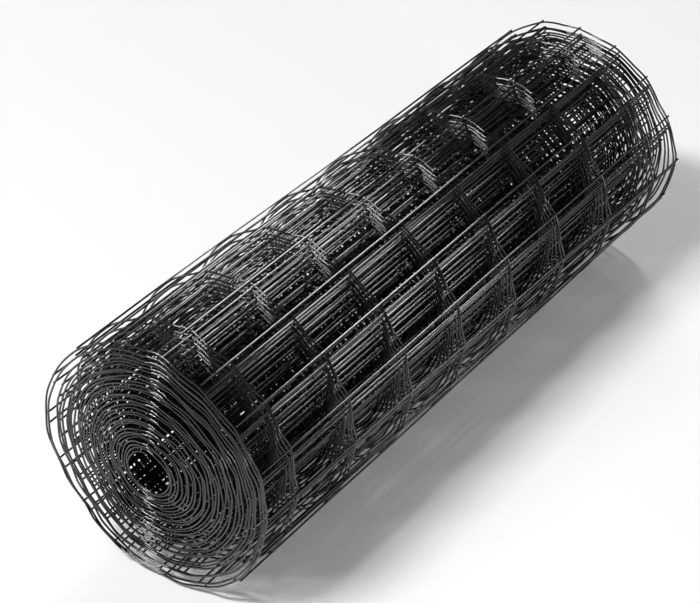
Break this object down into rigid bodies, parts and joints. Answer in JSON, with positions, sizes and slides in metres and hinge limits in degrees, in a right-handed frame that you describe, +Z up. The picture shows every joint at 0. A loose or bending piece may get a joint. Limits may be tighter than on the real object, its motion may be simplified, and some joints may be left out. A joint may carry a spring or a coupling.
{
  "type": "welded wire fencing roll",
  "caption": "Roll of black PVC-coated welded steel wire fencing, lying on its side, wound round an open bore with its turns showing on both ends.",
  "frame": {"origin": "on the floor, under the middle of the roll", "axes": "+X along the roll's axis, +Z up, +Y across the roll; the end that the picture shows faces -X"},
  "size_m": [0.815, 0.268, 0.2681],
  "materials": {
    "coated_wire": "satin"
  },
  "bodies": {
    "root": {"wire_roll": "coated_wire"}
  },
  "joints": []
}
